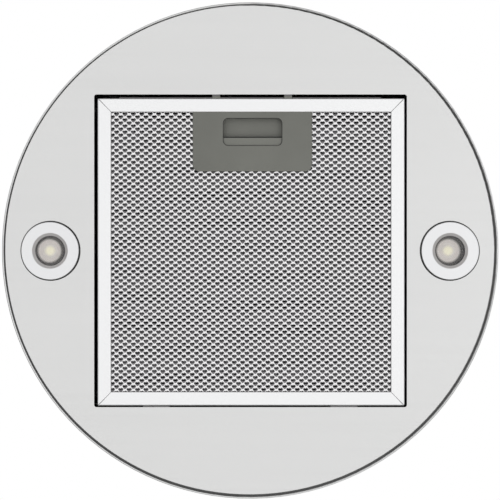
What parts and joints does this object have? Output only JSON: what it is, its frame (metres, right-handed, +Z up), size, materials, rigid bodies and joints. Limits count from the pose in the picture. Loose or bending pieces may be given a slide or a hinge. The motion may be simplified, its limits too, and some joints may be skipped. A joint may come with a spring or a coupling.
{
  "type": "island range hood",
  "caption": "Round island range hood hung from the ceiling: telescopic cylinder shell, drop-down grease filter with a sprung latch, blower, back-draught damper and lamps.",
  "frame": {"origin": "centre of the upper face of the ceiling plate", "axes": "+Z up, out of the ceiling plate; -Y towards the front, with the buttons and the filter's latch handle; +X to the right as seen from the front"},
  "size_m": [0.3699, 0.37, 0.8],
  "materials": {
    "satin_steel": "fine brushed stainless sheet",
    "galvanized": "zinc-coated sheet",
    "zinc_steel": "bright zinc-plated steel",
    "spring_steel": "dark spring steel",
    "frame_aluminium": "bright drawn aluminium",
    "mesh_aluminium": "expanded aluminium",
    "cast_aluminium": "bare extruded aluminium",
    "grey_plastic": "warm grey moulded plastic",
    "dark_plastic": "black moulded plastic",
    "white_plastic": "white moulded plastic",
    "light_trim": "satin pale grey",
    "reflector": "white gloss",
    "lens": "clear",
    "led": "cream phosphor on white board",
    "board": "green solder mask",
    "wheel_steel": "galvanized sheet",
    "motor_paint": "black enamel",
    "button_plastic": "metallised grey"
  },
  "bodies": {
    "ceiling_frame": {"ceiling_plate": "galvanized", "upper_legs": "galvanized", "upper_shell": "satin_steel", "shell_screws": "zinc_steel"},
    "blower_wheel": {"fan_wheel": "wheel_steel", "motor_shaft": "zinc_steel"},
    "front_damper": {"damper_flap_front": "wheel_steel"},
    "rear_damper": {"damper_flap_rear": "wheel_steel"},
    "grease_filter": {"frame_bar_front": "frame_aluminium", "frame_bar_rear": "frame_aluminium", "frame_bar_left": "frame_aluminium", "frame_bar_right": "frame_aluminium", "corner_plates": "frame_aluminium", "edge_strip": "spring_steel", "face_mesh": "mesh_aluminium", "filter_core": "mesh_aluminium", "back_mesh": "mesh_aluminium", "rear_tabs": "spring_steel", "handle_plate": "grey_plastic", "latch_springs": "spring_steel"},
    "filter_latch": {"latch_slider": "grey_plastic"},
    "button_off_body": {"button_off": "button_plastic"},
    "button_speed_low_body": {"button_speed_low": "button_plastic"},
    "button_speed_mid_body": {"button_speed_mid": "button_plastic"},
    "button_speed_high_body": {"button_speed_high": "button_plastic"},
    "button_light_body": {"button_light": "button_plastic"},
    "hood_body": {"blower_straps": "galvanized", "bottom_plate": "satin_steel", "cable_gland": "dark_plastic", "capacitor": "white_plastic", "chassis_plate": "galvanized", "control_board": "board", "control_housing": "dark_plastic", "damper_pin": "zinc_steel", "exhaust_spigot": "dark_plastic", "lamp_clips": "spring_steel", "latch_keepers": "spring_steel", "led_driver": "white_plastic", "left_lamp_bezel": "light_trim", "left_lamp_heatsink": "cast_aluminium", "left_lamp_led": "led", "left_lamp_lens": "lens", "left_lamp_reflector": "reflector", "leg_bolts": "zinc_steel", "lower_legs": "galvanized", "lower_shell": "satin_steel", "motor": "motor_paint", "motor_bracket": "galvanized", "outlet_duct": "galvanized", "right_lamp_bezel": "light_trim", "right_lamp_heatsink": "cast_aluminium", "right_lamp_led": "led", "right_lamp_lens": "lens", "right_lamp_reflector": "reflector", "scroll_left": "galvanized", "scroll_right": "galvanized", "shell_brackets": "galvanized", "suction_casing": "galvanized", "terminal_box": "dark_plastic", "terminal_lid": "dark_plastic"}
  },
  "joints": [
    {"name": "height_slide", "type": "slide", "parent": "ceiling_frame", "child": "hood_body", "axis": [0, 0, 1], "range_m": [-0.1, 0.08]},
    {"name": "blower_spin", "type": "hinge", "parent": "hood_body", "child": "blower_wheel", "pos_m": [0, 0.008, -0.6], "axis": [1, 0, 0], "continuous": true},
    {"name": "front_damper_swing", "type": "hinge", "parent": "hood_body", "child": "front_damper", "pos_m": [0, 0, -0.415], "axis": [-1, 0, 0], "range_deg": [0, 75]},
    {"name": "rear_damper_swing", "type": "hinge", "parent": "hood_body", "child": "rear_damper", "pos_m": [0, 0, -0.415], "axis": [1, 0, 0], "range_deg": [0, 75]},
    {"name": "filter_tilt", "type": "hinge", "parent": "hood_body", "child": "grease_filter", "pos_m": [0.0007, 0.11465, -0.798], "axis": [1, 0, 0], "range_deg": [0, 80], "deforming": ["latch_keepers"]},
    {"name": "latch_slide", "type": "slide", "parent": "grease_filter", "child": "filter_latch", "axis": [0, 1, 0], "range_m": [0, 0.006], "stiffness_N_per_m": 300, "springref_m": -0.006, "deforming": ["latch_springs"]},
    {"name": "button_off_press", "type": "slide", "parent": "hood_body", "child": "button_off_body", "axis": [0.2419, 0.9703, 0], "range_m": [0, 0.0015], "stiffness_N_per_m": 600, "springref_m": -0.001},
    {"name": "button_speed_low_press", "type": "slide", "parent": "hood_body", "child": "button_speed_low_body", "axis": [0.1219, 0.9925, 0], "range_m": [0, 0.0015], "stiffness_N_per_m": 600, "springref_m": -0.001},
    {"name": "button_speed_mid_press", "type": "slide", "parent": "hood_body", "child": "button_speed_mid_body", "axis": [0, 1, 0], "range_m": [0, 0.0015], "stiffness_N_per_m": 600, "springref_m": -0.001},
    {"name": "button_speed_high_press", "type": "slide", "parent": "hood_body", "child": "button_speed_high_body", "axis": [-0.1219, 0.9925, 0], "range_m": [0, 0.0015], "stiffness_N_per_m": 600, "springref_m": -0.001},
    {"name": "button_light_press", "type": "slide", "parent": "hood_body", "child": "button_light_body", "axis": [-0.2419, 0.9703, 0], "range_m": [0, 0.0015], "stiffness_N_per_m": 600, "springref_m": -0.001}
  ]
}
